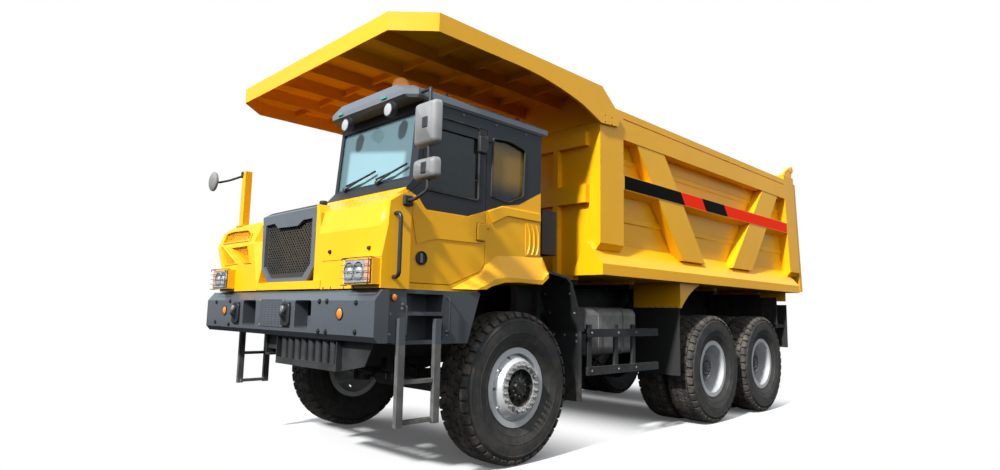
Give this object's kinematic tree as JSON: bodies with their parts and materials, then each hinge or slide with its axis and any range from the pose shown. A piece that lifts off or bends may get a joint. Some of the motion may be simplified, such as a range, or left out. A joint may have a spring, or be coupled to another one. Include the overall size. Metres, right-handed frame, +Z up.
{
  "type": "mining dump truck",
  "caption": "Wide-body three-axle mining dump truck with an offset half cab, tipping body with full canopy, top-hung tailgate and twin drive tyres.",
  "frame": {"origin": "centre of the truck's outer box, on the ground", "axes": "+X to the truck's left, +Y to its rear, +Z up; it faces -Y"},
  "size_m": [3.8348, 8.5879, 3.894],
  "materials": {
    "yellow_paint": "satin",
    "dark_paint": "satin",
    "black_paint": "satin",
    "grey_steel": "satin",
    "rim_silver": "satin",
    "tyre": "matt",
    "rubber": "matt",
    "glass": "clear",
    "lamp": "clear",
    "seat": "woven",
    "trim": "grained",
    "cast": "rough",
    "chrome": "polished"
  },
  "bodies": {
    "chassis": {"frame": "black_paint", "front_bumper": "dark_paint", "tow_hooks": "black_paint", "lower_guard": "dark_paint", "front_axle": "cast", "drive_axles": "cast", "springs": "black_paint", "engine": "cast", "propshafts": "black_paint", "grille": "dark_paint", "hood": "yellow_paint", "right_box": "yellow_paint", "cab_shell": "yellow_paint", "cab_roof": "dark_paint", "cab_glass": "glass", "driver_seat": "seat", "dashboard": "trim", "front_mudguards": "black_paint", "step_boxes": "dark_paint", "ladders": "grey_steel", "side_guards": "grey_steel", "side_tanks": "dark_paint", "air_box": "black_paint", "lamps": "lamp", "mirrors": "black_paint", "rear_flaps": "rubber"},
    "steer_knuckle_left": {"knuckle_left": "cast"},
    "steer_knuckle_right": {"knuckle_right": "cast"},
    "track_rod": {"tie_rod": "grey_steel"},
    "front_wheel_left": {"front_tyre_left": "tyre", "front_rim_left": "rim_silver"},
    "front_wheel_right": {"front_tyre_right": "tyre", "front_rim_right": "rim_silver"},
    "fore_twin_left": {"fore_tyres_left": "tyre", "fore_rims_left": "rim_silver"},
    "fore_twin_right": {"fore_tyres_right": "tyre", "fore_rims_right": "rim_silver"},
    "aft_twin_left": {"aft_tyres_left": "tyre", "aft_rims_left": "rim_silver"},
    "aft_twin_right": {"aft_tyres_right": "tyre", "aft_rims_right": "rim_silver"},
    "dump_body": {"tub": "yellow_paint", "body_frames": "yellow_paint", "underframe": "yellow_paint", "canopy": "yellow_paint", "body_flaps": "rubber", "gate_ears": "yellow_paint"},
    "rear_gate": {"tailgate": "yellow_paint"},
    "hoist_barrel": {"hoist_barrels": "grey_steel"},
    "hoist_stage": {"hoist_stages": "chrome"},
    "hoist_rod": {"hoist_rods": "chrome"},
    "cab_door": {"door_panel": "yellow_paint", "door_glass": "glass"}
  },
  "joints": [
    {"name": "bed_tilt", "type": "hinge", "parent": "chassis", "child": "dump_body", "pos_m": [0, 3.4, 1.26], "axis": [-1, 0, 0], "range_deg": [0, 45]},
    {"name": "gate_swing", "type": "hinge", "parent": "dump_body", "child": "rear_gate", "pos_m": [0, 4.01, 3.842], "axis": [1, 0, 0], "range_deg": [0, 60]},
    {"name": "hoist_swing", "type": "hinge", "parent": "chassis", "child": "hoist_barrel", "pos_m": [0, -0.29, 0.7], "axis": [1, 0, 0], "range_deg": [0, 13.24]},
    {"name": "hoist_stage_slide", "type": "slide", "parent": "hoist_barrel", "child": "hoist_stage", "axis": [0, 0.7736, 0.6336], "range_m": [0, 0.9897]},
    {"name": "hoist_rod_slide", "type": "slide", "parent": "hoist_stage", "child": "hoist_rod", "axis": [0, 0.7736, 0.6336], "range_m": [0, 0.9897]},
    {"name": "steer_left", "type": "hinge", "parent": "chassis", "child": "steer_knuckle_left", "pos_m": [1.01, -2.59, 0.685], "axis": [0, 0, 1], "range_deg": [-35, 35]},
    {"name": "steer_right", "type": "hinge", "parent": "chassis", "child": "steer_knuckle_right", "pos_m": [-1.01, -2.59, 0.685], "axis": [0, 0, 1], "range_deg": [-35, 35]},
    {"name": "track_rod_pivot", "type": "hinge", "parent": "steer_knuckle_left", "child": "track_rod", "pos_m": [1.01, -2.36, 0.54], "axis": [0, 0, 1], "range_deg": [-35, 35]},
    {"name": "front_spin_left", "type": "hinge", "parent": "steer_knuckle_left", "child": "front_wheel_left", "pos_m": [1.324, -2.59, 0.685], "axis": [1, 0, 0], "continuous": true},
    {"name": "front_spin_right", "type": "hinge", "parent": "steer_knuckle_right", "child": "front_wheel_right", "pos_m": [-1.324, -2.59, 0.685], "axis": [1, 0, 0], "continuous": true},
    {"name": "fore_spin_left", "type": "hinge", "parent": "chassis", "child": "fore_twin_left", "pos_m": [1.243, 1.005, 0.685], "axis": [1, 0, 0], "continuous": true},
    {"name": "fore_spin_right", "type": "hinge", "parent": "chassis", "child": "fore_twin_right", "pos_m": [-1.243, 1.005, 0.685], "axis": [1, 0, 0], "continuous": true},
    {"name": "aft_spin_left", "type": "hinge", "parent": "chassis", "child": "aft_twin_left", "pos_m": [1.243, 2.535, 0.685], "axis": [1, 0, 0], "continuous": true},
    {"name": "aft_spin_right", "type": "hinge", "parent": "chassis", "child": "aft_twin_right", "pos_m": [-1.243, 2.535, 0.685], "axis": [1, 0, 0], "continuous": true},
    {"name": "door_swing", "type": "hinge", "parent": "chassis", "child": "cab_door", "pos_m": [1.514, -3.074, 2.3], "axis": [0, 0, 1], "range_deg": [0, 70]}
  ],
  "couplings": [
    {"joint": "hoist_swing", "follows": "bed_tilt", "ratio": 0.28973},
    {"joint": "hoist_stage_slide", "follows": "bed_tilt", "m_per_rad": 1.2576},
    {"joint": "hoist_rod_slide", "follows": "bed_tilt", "m_per_rad": 1.2576},
    {"joint": "steer_right", "follows": "steer_left", "ratio": 1},
    {"joint": "track_rod_pivot", "follows": "steer_left", "ratio": -1}
  ]
}
